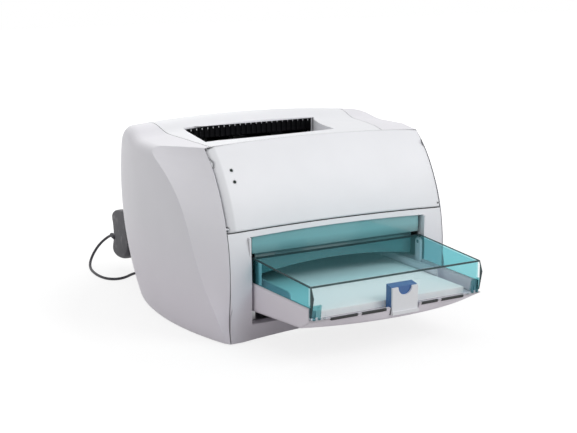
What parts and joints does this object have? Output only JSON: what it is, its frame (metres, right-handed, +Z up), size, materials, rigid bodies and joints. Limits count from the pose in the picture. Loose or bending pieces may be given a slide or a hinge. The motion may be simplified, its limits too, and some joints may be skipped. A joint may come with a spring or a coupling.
{
  "type": "laser printer",
  "caption": "Desktop laser printer with a front cartridge door, an open paper bin on top and a front paper tray under a hinged clear lid.",
  "frame": {"origin": "on the table under the middle of the printer, without its cable", "axes": "+X to the right seen from the front, +Y to the back, +Z up"},
  "size_m": [0.415, 0.6345, 0.252],
  "materials": {
    "casing": "satin",
    "casing_side": "satin",
    "teal_clear": "gloss",
    "teal": "gloss",
    "tray_grey": "satin",
    "guide_white": "satin",
    "guide_blue": "satin",
    "black_plastic": "matte",
    "dark_plastic": "matte",
    "cable_grey": "matte",
    "paper": "matte",
    "steel": "satin",
    "zinc": "satin",
    "rubber": "matte",
    "gear_plastic": "satin",
    "drum_green": "gloss",
    "board_green": "satin",
    "mirror": "polished",
    "light_green": "gloss"
  },
  "bodies": {
    "printer": {"left_side_cover": "casing_side", "right_side_cover": "casing_side", "top_cover": "casing", "exit_guide": "black_plastic", "front_panel": "casing", "rear_cover": "casing_side", "cover_screws": "steel", "feed_slot_panel": "teal", "base_pan": "zinc", "rubber_feet": "rubber", "left_side_frame": "zinc", "right_side_frame": "zinc", "crossbars": "zinc", "roller_bushes": "gear_plastic", "toner_cartridge": "dark_plastic", "main_motor": "zinc", "exit_belt": "rubber", "turn_guide": "black_plastic", "transfer_guide": "zinc", "separation_pad": "rubber", "fuser_frame": "zinc", "scanner_housing": "dark_plastic", "fold_mirror": "mirror", "main_board": "board_green", "power_board": "board_green", "power_inlet": "black_plastic", "data_port": "black_plastic", "fan_frame": "black_plastic", "connector_hood": "cable_grey", "cable_run": "cable_grey", "cable_coil": "cable_grey", "coil_tie": "black_plastic", "far_connector": "cable_grey"},
    "door": {"cartridge_door": "casing", "status_lights": "light_green"},
    "tray": {"tray_base": "tray_grey", "paper_stack": "paper", "lift_spring": "steel"},
    "lid": {"tray_lid": "teal_clear"},
    "rear_stop": {"length_guide": "guide_white", "guide_block": "guide_blue"},
    "left_guide": {"left_width_guide": "guide_blue"},
    "right_guide": {"right_width_guide": "guide_blue"},
    "plate": {"lift_plate": "zinc"},
    "back_door": {"rear_door": "casing_side"},
    "rocker": {"power_switch": "black_plastic"},
    "drum_body": {"drum": "drum_green"},
    "pickup": {"pickup_roller": "rubber", "pickup_gear": "gear_plastic"},
    "transfer": {"transfer_roller": "rubber"},
    "heat": {"heat_roller": "drum_green"},
    "pressure": {"pressure_roller": "rubber", "pressure_gear": "gear_plastic"},
    "exit": {"exit_roller": "rubber"},
    "pinch": {"pinch_roller": "gear_plastic"},
    "pickup_idler": {"pickup_idler_gear": "gear_plastic"},
    "fuser_idler": {"fuser_idler_gear": "gear_plastic"},
    "pinion": {"motor_pinion": "steel"},
    "polygon": {"polygon_mirror": "mirror"},
    "fan": {"fan_rotor": "black_plastic"}
  },
  "joints": [
    {"name": "door_hinge", "type": "hinge", "parent": "printer", "child": "door", "pos_m": [0, -0.1026, 0.144], "axis": [1, 0, 0], "range_deg": [0, 85]},
    {"name": "tray_slide", "type": "slide", "parent": "printer", "child": "tray", "axis": [0, -1, 0], "range_m": [0, 0.12]},
    {"name": "lid_hinge", "type": "hinge", "parent": "tray", "child": "lid", "pos_m": [0, -0.112, 0.098], "axis": [-1, 0, 0], "range_deg": [0, 28]},
    {"name": "length_guide_slide", "type": "slide", "parent": "tray", "child": "rear_stop", "axis": [0, -1, 0], "range_m": [0, 0.02]},
    {"name": "left_guide_slide", "type": "slide", "parent": "tray", "child": "left_guide", "axis": [-1, 0, 0], "range_m": [0, 0.006]},
    {"name": "right_guide_slide", "type": "slide", "parent": "tray", "child": "right_guide", "axis": [1, 0, 0], "range_m": [0, 0.006]},
    {"name": "plate_hinge", "type": "hinge", "parent": "tray", "child": "plate", "pos_m": [0, -0.08, 0.0559], "axis": [-1, 0, 0], "range_deg": [0, 4], "stiffness_Nm_per_rad": 1.5, "springref_deg": -20.05},
    {"name": "rear_door_hinge", "type": "hinge", "parent": "printer", "child": "back_door", "pos_m": [0, 0.2415, 0.0802], "axis": [-1, 0, 0], "range_deg": [0, 90]},
    {"name": "switch_rock", "type": "hinge", "parent": "printer", "child": "rocker", "pos_m": [0.12, 0.2392, 0.065], "axis": [-1, 0, 0], "range_deg": [0, 12]},
    {"name": "drum_spin", "type": "hinge", "parent": "printer", "child": "drum_body", "pos_m": [0, 0.1, 0.106], "axis": [1, 0, 0], "continuous": true},
    {"name": "pickup_spin", "type": "hinge", "parent": "printer", "child": "pickup", "pos_m": [0, 0.038, 0.083], "axis": [1, 0, 0], "continuous": true},
    {"name": "transfer_spin", "type": "hinge", "parent": "printer", "child": "transfer", "pos_m": [0, 0.1, 0.0862], "axis": [1, 0, 0], "continuous": true},
    {"name": "heat_spin", "type": "hinge", "parent": "printer", "child": "heat", "pos_m": [0, 0.165, 0.118], "axis": [1, 0, 0], "continuous": true},
    {"name": "pressure_spin", "type": "hinge", "parent": "printer", "child": "pressure", "pos_m": [0, 0.165, 0.0937], "axis": [1, 0, 0], "continuous": true},
    {"name": "exit_spin", "type": "hinge", "parent": "printer", "child": "exit", "pos_m": [0, 0.114, 0.215], "axis": [1, 0, 0], "continuous": true},
    {"name": "pinch_spin", "type": "hinge", "parent": "printer", "child": "pinch", "pos_m": [0, 0.114, 0.2278], "axis": [1, 0, 0], "continuous": true},
    {"name": "pickup_idler_spin", "type": "hinge", "parent": "printer", "child": "pickup_idler", "pos_m": [0, 0.07, 0.08268], "axis": [1, 0, 0], "continuous": true},
    {"name": "fuser_idler_spin", "type": "hinge", "parent": "printer", "child": "fuser_idler", "pos_m": [0, 0.13774, 0.11046], "axis": [1, 0, 0], "continuous": true},
    {"name": "pinion_spin", "type": "hinge", "parent": "printer", "child": "pinion", "pos_m": [0, 0.08162, 0.12438], "axis": [1, 0, 0], "continuous": true},
    {"name": "polygon_spin", "type": "hinge", "parent": "printer", "child": "polygon", "pos_m": [-0.03, 0.012, 0.185], "axis": [0, 0, 1], "continuous": true},
    {"name": "fan_spin", "type": "hinge", "parent": "printer", "child": "fan", "pos_m": [-0.155, 0.165, 0.18], "axis": [1, 0, 0], "continuous": true}
  ],
  "couplings": [
    {"joint": "right_guide_slide", "follows": "left_guide_slide", "ratio": 1},
    {"joint": "pickup_idler_spin", "follows": "drum_spin", "ratio": -1.1111},
    {"joint": "fuser_idler_spin", "follows": "drum_spin", "ratio": -1.1111},
    {"joint": "pickup_spin", "follows": "drum_spin", "ratio": 1.4286},
    {"joint": "pressure_spin", "follows": "drum_spin", "ratio": 1.4286},
    {"joint": "exit_spin", "follows": "drum_spin", "ratio": 1.4286},
    {"joint": "heat_spin", "follows": "drum_spin", "ratio": -1.4286},
    {"joint": "pinch_spin", "follows": "drum_spin", "ratio": -1.8182},
    {"joint": "transfer_spin", "follows": "drum_spin", "ratio": -1.6},
    {"joint": "pinion_spin", "follows": "drum_spin", "ratio": -3.3333}
  ]
}
